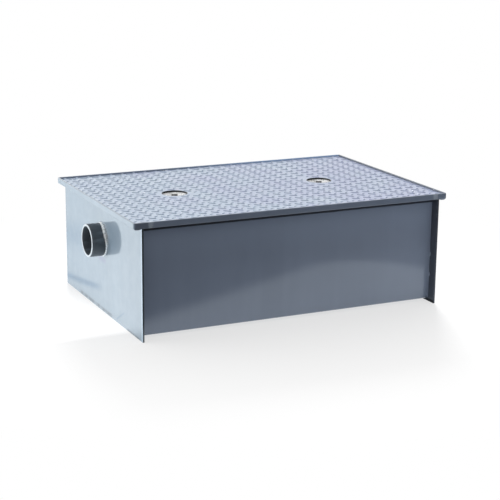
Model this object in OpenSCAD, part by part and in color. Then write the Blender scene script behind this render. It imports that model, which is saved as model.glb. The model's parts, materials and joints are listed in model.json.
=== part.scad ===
// Low-profile steel grease trap with a recessed tread-plate cover.
// Millimetres. X runs from the inlet to the outlet, -Y is the front, +Z is up.
// The origin is on the floor, under the centre of the tank.

/* [Tank] */
// Length over the outside faces of the two end plates
tank_l = 870; // [700:5:1200]
// Width over the outside faces of the front and rear panels
panel_w = 550; // [400:5:800]
// Height from the floor to the top of the rim
tank_h = 313; // [290:1:450]
// Thickness of the folded trough sheet
sheet_t = 3; // [2:0.5:5]
// Inside radius of the trough's two long folds
fold_r = 4; // [2:0.5:8]
// Height of the trough's underside above the floor
foot_h = 8; // [4:1:20]
// Thickness of the end plates
end_t = 5; // [3:0.5:8]
// How far the end plates stand out past the front and rear panels
end_out = 26.5; // [15:0.5:40]

/* [Rim] */
// Height of the rim's outside face
rim_face_h = 16; // [14:0.5:25]
// Thickness of the rim angle
rim_t = 5; // [3:0.5:6]
// How far the rim stands out past the end plates' outside faces
rim_over_end = 22; // [12:0.5:30]
// How far the rim stands out past the end plates' front and rear edges
rim_over_side = 3.5; // [1:0.5:10]
// Radius of the rim's rounded corners
rim_corner_r = 7; // [6:0.5:12]

/* [Pipes] */
// Outside diameter of the inlet and outlet pipes
pipe_od = 88.9; // [60.3, 73, 88.9, 101.6]
// Wall of the pipes
pipe_wall = 5.5; // [3:0.1:6.5]
// Depth of the pipes' axis below the top of the rim
pipe_drop = 112.5; // [100:0.5:130]
// How far the pipes stand out of the end plates
pipe_out = 41; // [30:1:90]
// Chamfer round the pipes' cut ends
pipe_chamfer = 1; // [0.5:0.1:2]

/* [Cover] */
// Thickness of the tread plate between its lugs
cover_t = 4.8; // [4:0.1:6]
// Gap between the cover's edge and the rim's lip
cover_gap = 2; // [1:0.5:4]
// Radius of the cover's corners
cover_corner_r = 5; // [3:0.5:10]
// Thickness of the gasket under the cover
gasket_t = 2; // [1:0.5:3]
// Width of the gasket
gasket_w = 18; // [10:1:20]
// Length of a tread lug
lug_l = 25; // [18:0.5:28]
// Width of a tread lug
lug_w = 7.5; // [5:0.5:9]
// Height of a tread lug
lug_h = 1.5; // [0.8:0.1:2.5]
// Pitch along the cover of lugs that lie the same way
lug_pitch_x = 34.6; // [32:0.1:45]
// Pitch across the cover of lugs that lie the same way
lug_pitch_y = 33; // [32:0.1:45]
// How far the lugs' pattern is shifted towards the outlet
lug_shift_x = 10.7; // [0:0.1:17]
// How far the lugs' pattern is shifted towards the front
lug_shift_y = 4.5; // [0:0.1:17]
// Bare margin between the outermost lugs' centres and the cover's edge
lug_margin = 12.5; // [11:0.5:30]

/* [Hold-down bolts] */
// Distance from the centre of the cover to each bolt
bolt_x = 222.5; // [190:0.5:260]
// Diameter of the bolts
bolt_d = 10; // [8:1:14]
// Width across the flats of the bolts' heads and nuts
bolt_af = 16; // [14:1:20]
// Height of the bolts' heads
bolt_head_h = 10; // [7:0.5:12]
// Radial gap between a bolt and its nut's thread
thread_gap = 0.15; // [0.1:0.05:0.3]
// Radial gap between a bolt and the plain holes that it passes
bolt_hole_gap = 1; // [0.5:0.1:2]
// Outside diameter of the washers
washer_od = 24; // [20:0.5:30]
// Thickness of the washers
washer_t = 3; // [2:0.5:4]
// Radial gap between a bolt and its washer
washer_gap = 0.2; // [0.1:0.05:0.4]
// Height of the weld nuts
nut_h = 8; // [6:1:12]
// How far a bolt's end stands out below its nut
bolt_tail = 3; // [2:1:8]

/* [Cups] */
// Outside diameter of a cup at the top of the cover
cup_od = 71; // [58:1:80]
// Inside diameter of a cup's flat floor
cup_floor_d = 36; // [35:1:40]
// Depth of a cup from the top of the cover to its floor
cup_depth = 13; // [10:0.5:16]
// Thickness of a cup's sheet
cup_t = 2; // [1.5:0.1:3]
// Height of a cup's straight edge, set in the cover
cup_edge_h = 4.8; // [3:0.1:4.8]
// Radial gap between a cup and its hole in the cover
cup_gap = 0.15; // [0.1:0.05:0.3]

/* [Crossbars] */
// Width of each leg of the crossbars' angle
cross_leg = 40; // [34:1:50]
// Thickness of the crossbars' angle
cross_t = 5; // [3:0.5:6]
// Gap between the cups' undersides and the crossbars
cross_drop = 8; // [4:1:15]

/* [Baffles] */
// Thickness of the baffles, the trap's sheets and the tray
baffle_t = 3; // [2:0.5:4]
// Distance of the inlet baffle from the inlet end plate's inside face
inlet_baffle_x = 95; // [70:1:110]
// Distance of the outlet baffle from the middle of the tank, towards the outlet
outlet_baffle_x = 110; // [60:1:150]
// Gap between the baffles' tops and the underside of the rim
baffle_top_gap = 14; // [8:1:30]
// Depth of the guides' slots
guide_depth = 12; // [8:1:18]
// Thickness of the guides' sheet
guide_t = 2; // [1.5:0.5:3]
// Gap on each side of a baffle in its guides
guide_gap = 0.7; // [0.3:0.1:1]
// Gap between a baffle's edge and the bottom of its guides' slots
guide_end_gap = 1.5; // [0.5:0.5:3]
// Width of the inlet baffle's slots
slot_w = 18; // [10:1:24]
// Length of the inlet baffle's slots
slot_l = 110; // [60:5:130]
// Pitch of the inlet baffle's slots
slot_pitch = 60; // [40:1:80]
// Height of the slots' lower ends above the tank's floor
slot_low = 40; // [30:1:50]
// Width of each window at the foot of the outlet baffle
window_w = 84; // [50:1:90]
// Height of the windows at the foot of the outlet baffle
window_h = 55; // [40:1:90]
// Pitch of the windows
window_pitch = 104; // [95:1:120]
// Length of the hand hole near the top of each baffle
hand_l = 100; // [80:1:130]
// Height of the hand hole
hand_h = 26; // [20:1:32]
// Height of metal above the hand hole
hand_top = 14; // [10:1:25]

/* [Outlet trap] */
// Distance of the hood's front wall from the outlet end plate's inside face
hood_x = 80; // [70:1:110]
// Height of the hood's lower edge above the tank's floor
hood_low = 50; // [30:1:80]
// Gap between the top of the pipe and the underside of the hood's roof
hood_over = 20; // [10:1:24]
// Distance of the weir from the outlet end plate's inside face
weir_x = 45; // [40:1:55]
// Diameter of the cleanout plug's body
plug_d = 38; // [30:1:40]
// Diameter of the cleanout plug's flange
plug_flange_d = 48; // [44:1:56]
// Thickness of the cleanout plug's flange
plug_flange_t = 4; // [3:0.5:6]
// Length of the plug's body below the hood's roof
plug_body_l = 10; // [6:1:15]
// Width of the plug's square head
plug_head = 20; // [16:1:24]
// Height of the plug's square head
plug_head_h = 10; // [8:1:12]
// Outside diameter of the air relief tube
vent_od = 21.3; // [16:0.1:27]
// Wall of the air relief tube
vent_wall = 2.8; // [2:0.1:3.5]
// Distance of the air relief tube from the plug's centre
vent_y = 150; // [80:1:190]
// How far the air relief tube stands above the hood's roof
vent_up = 16; // [10:1:20]
// How far the air relief tube reaches below the hood's roof
vent_down = 6; // [4:1:8]
// Radial gap round the plug and the air relief tube in the hood's roof
roof_gap = 0.2; // [0.1:0.05:0.4]

/* [Sediment tray] */
// Length of the tray
tray_l = 230; // [150:5:260]
// Gap between the tray and the trough's folds, front and rear
tray_side_gap = 16; // [8:1:40]
// Height of the tray's walls
tray_h = 24; // [15:1:35]
// Distance of the tray from the inlet baffle
tray_x = 10; // [7:1:30]
// Thickness of the tray's sheet
tray_t = 2; // [1.5:0.5:3]

/* [Hidden] */
$fn = 96;
eps = 0.01;
paint = "slategray";
tread_paint = "lightsteelblue";
steel = "silver";
rubber = "dimgray";

rim_l = tank_l + 2 * rim_over_end;
end_w = panel_w + 2 * end_out;
rim_w = end_w + 2 * rim_over_side;
rim_z = tank_h - rim_face_h;
ledge_z = rim_z + rim_t;
inside_l = tank_l - 2 * end_t;
inside_w = panel_w - 2 * sheet_t;
floor_z = foot_h + sheet_t;
pipe_axis_h = tank_h - pipe_drop;
pipe_bore_r = pipe_od / 2 - pipe_wall;

cover_l = rim_l - 2 * (rim_t + cover_gap);
cover_w = rim_w - 2 * (rim_t + cover_gap);
cover_z = ledge_z + gasket_t;
cover_top = cover_z + cover_t;
lug_r = (lug_l * lug_l + lug_w * lug_w) / (4 * lug_w);
lug_nx = ceil(cover_l / lug_pitch_x) + 1;
lug_ny = ceil(cover_w / lug_pitch_y) + 1;
lug_clear = cup_od / 2 + lug_w / 2 + 0.5;

bolt_r = bolt_d / 2;
cup_floor_z = cover_top - cup_depth;
cup_under_z = cup_floor_z - cup_t;
washer_top = cup_floor_z + washer_t;
cross_top = cup_under_z - cross_drop;
nut_top = cross_top - cross_t;
bolt_end_z = nut_top - nut_h - bolt_tail;

in_baffle = -inside_l / 2 + inlet_baffle_x;
out_baffle = outlet_baffle_x;
baffle_top = rim_z - baffle_top_gap;
baffle_h = baffle_top - floor_z;
baffle_w = inside_w - 2 * (guide_t + guide_end_gap);
guide_w = baffle_t + 2 * (guide_gap + guide_t);
guide_z = floor_z + fold_r;

hood_front = inside_l / 2 - hood_x;
roof_z = pipe_axis_h + pipe_od / 2 + hood_over;
roof_top = roof_z + baffle_t;
weir_front = inside_l / 2 - weir_x;
weir_top = pipe_axis_h - pipe_bore_r;
plug_x = (hood_front + baffle_t + inside_l / 2) / 2;

// Rectangle with round corners, centred on the origin
module round_rect(l, w, r) {
    square([l - 2 * r, w], center = true);
    square([l, w - 2 * r], center = true);
    for (sx = [-1, 1], sy = [-1, 1])
        translate([sx * (l / 2 - r), sy * (w / 2 - r)]) circle(r);
}

// Upright outline with its two lower corners rounded, standing on the origin
module folded_outline(w, h, r) {
    translate([-w / 2, r]) square([w, h - r]);
    translate([-w / 2 + r, 0]) square([w - 2 * r, r]);
    for (s = [-1, 1]) translate([s * (w / 2 - r), r]) circle(r);
}

// Slot with round ends, centred on the origin and lying along X
module slot(l, w) {
    square([l - w, w], center = true);
    for (s = [-1, 1]) translate([s * (l - w) / 2, 0]) circle(w / 2);
}

// Extrudes a Y-Z outline along X, from x to x + t
module across(x, t) {
    translate([x, 0, 0]) rotate([90, 0, 90]) linear_extrude(t) children();
}

// Cylinder along X, from x to x + l
module x_cylinder(x, l, r) {
    translate([x, 0, pipe_axis_h]) rotate([0, 90, 0]) cylinder(h = l, r = r);
}

module trough() {
    color(paint) translate([0, 0, foot_h]) across(-inside_l / 2, inside_l)
        difference() {
            folded_outline(panel_w, rim_z - foot_h, fold_r + sheet_t);
            translate([0, sheet_t]) folded_outline(inside_w, rim_z - foot_h, fold_r);
        }
}

// End plate with a hole as wide as the pipe's bore, x being its lower X face
module end_plate(x) {
    color(paint) difference() {
        across(x, end_t) translate([-end_w / 2, 0]) square([end_w, rim_z]);
        x_cylinder(x - eps, end_t + 2 * eps, pipe_bore_r);
    }
}
module inlet_end_plate() end_plate(-tank_l / 2);
module outlet_end_plate() end_plate(tank_l / 2 - end_t);

// The whole rim: a flat ledge with an upstanding lip at its outer edge
module rim_ring() {
    translate([0, 0, rim_z]) difference() {
        linear_extrude(rim_face_h) round_rect(rim_l, rim_w, rim_corner_r);
        translate([0, 0, rim_t]) linear_extrude(rim_face_h)
            round_rect(rim_l - 2 * rim_t, rim_w - 2 * rim_t, rim_corner_r - rim_t);
        translate([0, 0, -eps]) linear_extrude(rim_face_h)
            square([inside_l, inside_w], center = true);
    }
}

// Part of the rim inside a mitred sector: outer corners a and b, inner corners c and d
module rim_bar(a, b, c, d) {
    color(paint) intersection() {
        rim_ring();
        translate([0, 0, rim_z - eps]) linear_extrude(rim_face_h + 2 * eps) polygon([a, b, c, d]);
    }
}
function outer_corner(sx, sy) = [sx * rim_l / 2, sy * rim_w / 2];
function inner_corner(sx, sy) = [sx * inside_l / 2, sy * inside_w / 2];
module rim_side_bar(sy)
    rim_bar(outer_corner(-1, sy), outer_corner(1, sy), inner_corner(1, sy), inner_corner(-1, sy));
module rim_end_bar(sx)
    rim_bar(outer_corner(sx, -1), outer_corner(sx, 1), inner_corner(sx, 1), inner_corner(sx, -1));
module rim_front_bar() rim_side_bar(-1);
module rim_rear_bar() rim_side_bar(1);
module rim_inlet_bar() rim_end_bar(-1);
module rim_outlet_bar() rim_end_bar(1);

// Pipe stub set on the outlet end plate's outside face, chamfered at its free end
module nipple() {
    straight = pipe_out - pipe_chamfer;
    color("darkslategray") difference() {
        union() {
            x_cylinder(tank_l / 2, straight, pipe_od / 2);
            translate([tank_l / 2 + straight, 0, pipe_axis_h]) rotate([0, 90, 0])
                cylinder(h = pipe_chamfer, r1 = pipe_od / 2, r2 = pipe_od / 2 - pipe_chamfer);
        }
        x_cylinder(tank_l / 2 - eps, pipe_out + 2 * eps, pipe_bore_r);
    }
}
module inlet_nipple() mirror([1, 0, 0]) nipple();
module outlet_nipple() nipple();

module cover_gasket() {
    color(rubber) translate([0, 0, ledge_z]) linear_extrude(gasket_t) difference() {
        round_rect(cover_l, cover_w, cover_corner_r);
        square([cover_l - 2 * gasket_w, cover_w - 2 * gasket_w], center = true);
    }
}

// One lens-shaped lug lying along X
module lug() {
    linear_extrude(lug_h) intersection() {
        translate([0, lug_r - lug_w / 2]) circle(lug_r);
        translate([0, lug_w / 2 - lug_r]) circle(lug_r);
    }
}

function lug_place(i, j) = [i * lug_pitch_x / 2 + lug_shift_x, j * lug_pitch_y / 2 - lug_shift_y];
function lug_turn(i) = i % 2 == 0 ? 45 : -45;
function on_cover(p) = abs(p[0]) <= cover_l / 2 - lug_margin && abs(p[1]) <= cover_w / 2 - lug_margin;
// Distance from a point to the axis of a lug that is centred on the origin
function off_axis(p, u) = norm(p - u * max(-lug_l / 2, min(lug_l / 2, p * u)));
function clear_of_cups(p, turn) =
    min([for (s = [-1, 1]) off_axis([s * bolt_x, 0] - p, [cos(turn), sin(turn)])]) > lug_clear;

module cover_plate() {
    color(tread_paint) difference() {
        union() {
            translate([0, 0, cover_z]) linear_extrude(cover_t)
                round_rect(cover_l, cover_w, cover_corner_r);
            for (i = [-lug_nx : lug_nx], j = [-lug_ny : lug_ny])
                if ((i + j) % 2 == 0 && on_cover(lug_place(i, j)) && clear_of_cups(lug_place(i, j), lug_turn(i)))
                    translate([each lug_place(i, j), cover_top]) rotate(lug_turn(i)) lug();
        }
        for (s = [-1, 1]) translate([s * bolt_x, 0, cover_z - eps])
            cylinder(h = cover_t + lug_h + 2 * eps, d = cup_od + 2 * cup_gap);
    }
}

// Dished cup with a bolt hole in its floor
module cup(x) {
    r_top = cup_od / 2;
    r_floor = cup_floor_d / 2;
    edge_z = cover_top - cup_edge_h;
    color(steel) translate([x, 0, 0]) rotate_extrude() polygon([
        [bolt_r + bolt_hole_gap, cup_under_z], [r_floor + cup_t, cup_under_z], [r_top, edge_z],
        [r_top, cover_top], [r_top - cup_t, cover_top], [r_top - cup_t, edge_z],
        [r_floor, cup_floor_z], [bolt_r + bolt_hole_gap, cup_floor_z]]);
}
module inlet_side_cup() cup(-bolt_x);
module outlet_side_cup() cup(bolt_x);

// Hexagon of the bolts' heads and nuts, from z to z + h
module hexagon(z, h) {
    translate([0, 0, z]) cylinder(h = h, r = bolt_af / 2 / cos(30), $fn = 6);
}

module bolt(x) {
    color(steel) translate([x, 0, 0]) {
        hexagon(washer_top, bolt_head_h);
        translate([0, 0, bolt_end_z]) cylinder(h = washer_top - bolt_end_z, r = bolt_r);
    }
}
module inlet_side_bolt() bolt(-bolt_x);
module outlet_side_bolt() bolt(bolt_x);

module washer(x) {
    color(steel) translate([x, 0, cup_floor_z]) difference() {
        cylinder(h = washer_t, d = washer_od);
        translate([0, 0, -eps]) cylinder(h = washer_t + 2 * eps, r = bolt_r + washer_gap);
    }
}
module inlet_side_washer() washer(-bolt_x);
module outlet_side_washer() washer(bolt_x);

// Angle from panel to panel under the cover, its upright leg turned away from the middle
module crossbar(side) {
    color(paint) translate([side * bolt_x, 0, 0]) difference() {
        union() {
            translate([-cross_leg / 2, -inside_w / 2, cross_top - cross_t])
                cube([cross_leg, inside_w, cross_t]);
            translate([side * (cross_leg - cross_t) / 2 - cross_t / 2, -inside_w / 2, cross_top - cross_leg])
                cube([cross_t, inside_w, cross_leg]);
        }
        translate([0, 0, nut_top - eps]) cylinder(h = cross_t + 2 * eps, r = bolt_r + bolt_hole_gap);
    }
}
module inlet_side_crossbar() crossbar(-1);
module outlet_side_crossbar() crossbar(1);

module weld_nut(x) {
    color(steel) translate([x, 0, 0]) difference() {
        hexagon(nut_top - nut_h, nut_h);
        translate([0, 0, nut_top - nut_h - eps]) cylinder(h = nut_h + 2 * eps, r = bolt_r + thread_gap);
    }
}
module inlet_side_nut() weld_nut(-bolt_x);
module outlet_side_nut() weld_nut(bolt_x);

// Baffle outline in Y-Z, standing on the tank's floor, with its hand hole
module baffle_outline() {
    difference() {
        translate([0, floor_z]) folded_outline(baffle_w, baffle_h, fold_r);
        translate([0, baffle_top - hand_top - hand_h / 2]) slot(hand_l, hand_h);
    }
}

module inlet_baffle() {
    count = floor((baffle_w - slot_pitch) / slot_pitch);
    color(paint) across(in_baffle, baffle_t) difference() {
        baffle_outline();
        for (i = [0 : count - 1])
            translate([(i - (count - 1) / 2) * slot_pitch, floor_z + slot_low + slot_l / 2])
                rotate(90) slot(slot_l, slot_w);
    }
}

module outlet_baffle() {
    count = floor((baffle_w - window_w / 2) / window_pitch);
    color(paint) across(out_baffle, baffle_t) difference() {
        baffle_outline();
        for (i = [0 : count - 1])
            translate([(i - (count - 1) / 2) * window_pitch - window_w / 2, floor_z - eps])
                square([window_w, window_h]);
    }
}

// Upright channel on the front (-1) or rear (1) panel, for the baffle at x
module baffle_guide(x, side) {
    depth = guide_depth + guide_t;
    color(paint) translate([x + baffle_t / 2, side * inside_w / 2, guide_z])
        linear_extrude(baffle_top - guide_z) difference() {
            translate([-guide_w / 2, side > 0 ? -depth : 0]) square([guide_w, depth]);
            translate([guide_t - guide_w / 2, side > 0 ? -depth - eps : guide_t])
                square([guide_w - 2 * guide_t, guide_depth + eps]);
        }
}
module inlet_guide_front() baffle_guide(in_baffle, -1);
module inlet_guide_rear() baffle_guide(in_baffle, 1);
module outlet_guide_front() baffle_guide(out_baffle, -1);
module outlet_guide_rear() baffle_guide(out_baffle, 1);

// Hood over the outlet: a wall that dips below the grease, folded back to a roof
module trap_hood() {
    wall_z = floor_z + hood_low;
    color(paint) difference() {
        union() {
            translate([hood_front, -inside_w / 2, wall_z]) cube([baffle_t, inside_w, roof_top - wall_z]);
            translate([hood_front, -inside_w / 2, roof_z])
                cube([inside_l / 2 - hood_front, inside_w, baffle_t]);
        }
        translate([plug_x, 0, roof_z - eps])
            cylinder(h = baffle_t + 2 * eps, r = plug_d / 2 + roof_gap);
        translate([plug_x, vent_y, roof_z - eps])
            cylinder(h = baffle_t + 2 * eps, r = vent_od / 2 + roof_gap);
    }
}

module trap_weir() {
    color(paint) across(weir_front, baffle_t) translate([0, floor_z])
        folded_outline(inside_w, weir_top - floor_z, fold_r);
}

module cleanout_plug() {
    color("peru") translate([plug_x, 0, 0]) {
        translate([0, 0, roof_z - plug_body_l])
            cylinder(h = plug_body_l + baffle_t, d = plug_d);
        translate([0, 0, roof_top]) cylinder(h = plug_flange_t, d = plug_flange_d);
        translate([-plug_head / 2, -plug_head / 2, roof_top + plug_flange_t])
            cube([plug_head, plug_head, plug_head_h]);
    }
}

module air_relief_tube() {
    low = roof_z - vent_down;
    length = vent_down + baffle_t + vent_up;
    color(steel) translate([plug_x, vent_y, low]) difference() {
        cylinder(h = length, d = vent_od);
        translate([0, 0, -eps]) cylinder(h = length + 2 * eps, r = vent_od / 2 - vent_wall);
    }
}

module sediment_tray() {
    w = inside_w - 2 * (fold_r + tray_side_gap);
    color(steel) translate([in_baffle + baffle_t + tray_x, -w / 2, floor_z]) difference() {
        cube([tray_l, w, tray_h]);
        translate([tray_t, tray_t, tray_t]) cube([tray_l - 2 * tray_t, w - 2 * tray_t, tray_h]);
    }
}

trough();
inlet_end_plate();
outlet_end_plate();
rim_front_bar();
rim_rear_bar();
rim_inlet_bar();
rim_outlet_bar();
inlet_nipple();
outlet_nipple();
cover_gasket();
cover_plate();
inlet_side_cup();
outlet_side_cup();
inlet_side_bolt();
outlet_side_bolt();
inlet_side_washer();
outlet_side_washer();
inlet_side_crossbar();
outlet_side_crossbar();
inlet_side_nut();
outlet_side_nut();
inlet_baffle();
outlet_baffle();
inlet_guide_front();
inlet_guide_rear();
outlet_guide_front();
outlet_guide_rear();
trap_hood();
trap_weir();
cleanout_plug();
air_relief_tube();
sediment_tray();
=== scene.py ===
"""Looks of a coated steel grease trap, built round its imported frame.

Each operator dresses one group of like pieces, and the last one sets the stage.
"""
import json
import math

import bmesh
import bpy
from bpy.props import FloatProperty, FloatVectorProperty, IntProperty, PointerProperty
from mathutils import Matrix, Vector


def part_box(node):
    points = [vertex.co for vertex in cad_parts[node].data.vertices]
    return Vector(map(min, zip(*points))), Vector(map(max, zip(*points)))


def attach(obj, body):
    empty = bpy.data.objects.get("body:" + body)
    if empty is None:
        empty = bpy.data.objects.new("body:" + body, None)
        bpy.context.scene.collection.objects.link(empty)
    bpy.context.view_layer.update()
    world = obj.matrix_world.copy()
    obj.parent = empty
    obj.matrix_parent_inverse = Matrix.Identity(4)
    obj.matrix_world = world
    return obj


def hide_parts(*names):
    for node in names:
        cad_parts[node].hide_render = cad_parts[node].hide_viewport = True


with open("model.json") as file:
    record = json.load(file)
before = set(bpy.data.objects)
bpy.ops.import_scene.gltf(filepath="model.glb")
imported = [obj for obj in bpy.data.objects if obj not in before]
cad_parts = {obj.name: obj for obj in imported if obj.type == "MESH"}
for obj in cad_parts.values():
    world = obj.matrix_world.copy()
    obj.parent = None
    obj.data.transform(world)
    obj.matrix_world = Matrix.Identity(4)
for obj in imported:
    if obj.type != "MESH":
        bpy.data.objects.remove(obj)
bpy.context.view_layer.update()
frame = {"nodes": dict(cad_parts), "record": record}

bl_info = {
    "name": "Grease Trap Looks",
    "version": (1, 0, 0),
    "blender": (4, 5, 0),
    "location": "View3D > Sidebar > Grease Trap",
    "description": "Dresses a coated steel grease trap with a tread-plate cover",
    "category": "Object",
}

ENDS = ("inlet", "outlet")

# How meshes are read: points that are one, planes that are one, sharp and steep edges, and much smaller faces
MERGE = 1e-6
FLAT = math.radians(0.5)
SHARP = math.radians(35)
STEEP = math.radians(60)
MUCH_SMALLER = 1 / 3

# Coating: how far a sheet waves, how deep the orange peel is, and how strongly the clear layer mirrors
SHEET_WAVE = 0.0006
PEEL = 0.000006
COAT_IOR = 1.8

# Stitch welds: heights up a panel, as shares of it, how deep a ripple is, and how far a corner's weld is sunk
STITCH_HEIGHTS = (0.242, 0.443)
STITCH_RIPPLE = 0.1
CORNER_WELD_SUNK = 0.001

# Weld ring: faces across it, and its size, its broad side, its ripples and its wander, as shares of its leg
RING_STEPS = 5
RING_SHARE = 0.45
RING_BROAD = 1.15
RING_BROAD_AT = math.radians(140)
RING_RIPPLE = 0.05
RING_WANDER = 0.06

# Cover: gap round a cup, and faces round a cup's hole and a corner
CUP_GAP = 0.00015
CUP_STEPS = 96
CORNER_STEPS = 8

# Bolts: faces round a head and a turn of thread, the head's chamfer, bare turns at each end, and shank in the head
HEAD_STEPS = 72
THREAD_STEPS = 32
CHAMFER_CIRCLE = 0.94
CHAMFER_SLOPE = math.tan(math.radians(28))
BARE_TURNS = 0.7
SHANK_IN_HEAD = 0.001

# Camera's sensor in millimetres
SENSOR_WIDTH = 36

# Lamps: where they stand, what the side lamp aims at and its width and height
SIDE_LAMP = (-1.9, 0.4, 0.16)
SIDE_TARGET = (-0.44, 0, 0.16)
SIDE_SIZE = (1.2, 0.3)
BACK_LAMP = (1.7, 4.1, 2.05)

# Room: which way it is white, and the lean from that way over which it grows dim
ROOM_WHITE_WAY = (-0.25, 0.95, 0.1)
ROOM_FADE = (-0.2, 0.5)

# Floor: its colours, how far from the middle it turns plain white, and how near to that it is at the middle
FLOOR_WHITE = (0.93, 0.93, 0.93)
FLOOR_DARK = (0.05, 0.05, 0.05)
SHADOW_REACH = (0.45, 1.2)
SHADOW_WHITE = 0.65

# Lit table: its soft edge, the Y range from its front to its side, the way across the mirrored view and the dimming
TABLE_SOFT = 0.05
TABLE_TURN = (-0.29, -0.15)
MIRRORED_VIEW = (0.9425, 0.334)
TABLE_DIM = 0.3


class TrapSizes(bpy.types.PropertyGroup):
    """Sizes of the details that the finish adds to the frame."""

    plate_edge: FloatProperty(
        name="Plate edge", description="Radius on the edges of plates and sheets", default=0.0006, unit="LENGTH")
    rim_edge: FloatProperty(
        name="Rim edge", description="Radius on the edges of the rim's angle", default=0.002, unit="LENGTH")
    edge_steps: IntProperty(name="Edge steps", description="Faces across a plate's rounded edge", default=3)
    rim_steps: IntProperty(name="Rim edge steps", description="Faces across the rim's rounded edges", default=9)
    lug_length: FloatProperty(
        name="Lug length", description="Length of a tread lug", default=0.025, unit="LENGTH")
    lug_width: FloatProperty(name="Lug width", description="Width of a tread lug", default=0.0075, unit="LENGTH")
    lug_height: FloatProperty(name="Lug height", description="Height of a tread lug", default=0.0015, unit="LENGTH")
    lug_pitch: FloatVectorProperty(
        name="Lug pitch", description="Pitch of lugs that lie the same way", default=(0.0346, 0.033), size=2,
        unit="LENGTH")
    lug_shift: FloatVectorProperty(
        name="Lug shift", description="Shift of the lugs' pattern", default=(0.0107, -0.0045), size=2, unit="LENGTH")
    lug_margin: FloatProperty(
        name="Lug margin", description="Bare margin between the lugs and the cover's edge", default=0.001,
        unit="LENGTH")
    lug_clear: FloatProperty(
        name="Lug clearance", description="Gap between a cup and the lugs round it", default=0.0005, unit="LENGTH")
    cover_corner: FloatProperty(
        name="Cover corner", description="Radius of the cover's corners", default=0.005, unit="LENGTH")
    weld_leg: FloatProperty(name="Weld leg", description="Leg of the weld round a pipe", default=0.005, unit="LENGTH")
    weld_ripple: FloatProperty(
        name="Weld ripple", description="Pitch of the ripples in a weld", default=0.0042, unit="LENGTH")
    stitch_length: FloatProperty(
        name="Stitch length", description="Length of a stitch weld", default=0.013, unit="LENGTH")
    stitch_radius: FloatProperty(
        name="Stitch radius", description="Radius of a stitch weld", default=0.0028, unit="LENGTH")
    corner_weld: FloatProperty(
        name="Corner weld", description="Radius of the welds under the rim's corners", default=0.0032, unit="LENGTH")
    bolt_radius: FloatProperty(
        name="Bolt radius", description="Radius of the bolts' thread over its crests", default=0.005, unit="LENGTH")
    thread_pitch: FloatProperty(
        name="Thread pitch", description="Pitch of the bolts' thread", default=0.0015, unit="LENGTH")
    thread_depth: FloatProperty(
        name="Thread depth", description="Depth of the bolts' thread", default=0.0009, unit="LENGTH")


def colour(name, description, default):
    """A colour setting in linear values."""
    return FloatVectorProperty(name=name, description=description, default=default, subtype="COLOR", min=0, max=1)


class TrapColours(bpy.types.PropertyGroup):
    """Colours of the finishes."""

    coating: colour("Coating", "Epoxy coating of the tank", (0.25, 0.305, 0.415))
    # Painted light: the tank's coating again, in a colour tuned to how the inlet end is lit
    plate: colour("Inlet plate", "Coating of the inlet end plate", (0.18, 0.236, 0.292))
    tread: colour("Tread", "Coating of the tread cover", (0.222, 0.31, 0.44))
    tread_tint: colour("Tread tint", "Lilac cast in the tread's coating", (0.2, 0.25, 0.425))
    # Colour of the smears on the inlet end plate, used also as painted shade along a crease and in a cloud
    smudge_and_shade: colour("Smudge", "Dirt on the inlet end plate", (0.07, 0.135, 0.215))
    stain: colour("Stain", "Heat stain under the inlet's weld", (0.15, 0.15, 0.26))
    # Near-black colour: painted shade in corners, under the rim and on edge faces, and dark marks along some edges
    grime_and_shade: colour("Grime", "Grime in corners and on edges", (0.02, 0.024, 0.03))
    pipe: colour("Pipe", "Dark coating of the pipe stubs", (0.09, 0.108, 0.126))
    cut_steel: colour("Cut steel", "Bare cut ends of the pipes", (0.6, 0.64, 0.67))
    plating: colour("Plating", "Bright plated steel", (0.78, 0.79, 0.79))
    bolt: colour("Bolt", "Dull steel of the bolts", (0.24, 0.24, 0.23))
    # Weld metal under a thin coat, made whiter and bluer as a painted glint
    weld: colour("Weld", "Weld metal under a thin coat", (0.78, 0.87, 0.93))
    rubber: colour("Rubber", "Cover gasket", (0.015, 0.016, 0.018))
    bronze: colour("Bronze", "Cleanout plug", (0.42, 0.24, 0.09))


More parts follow.
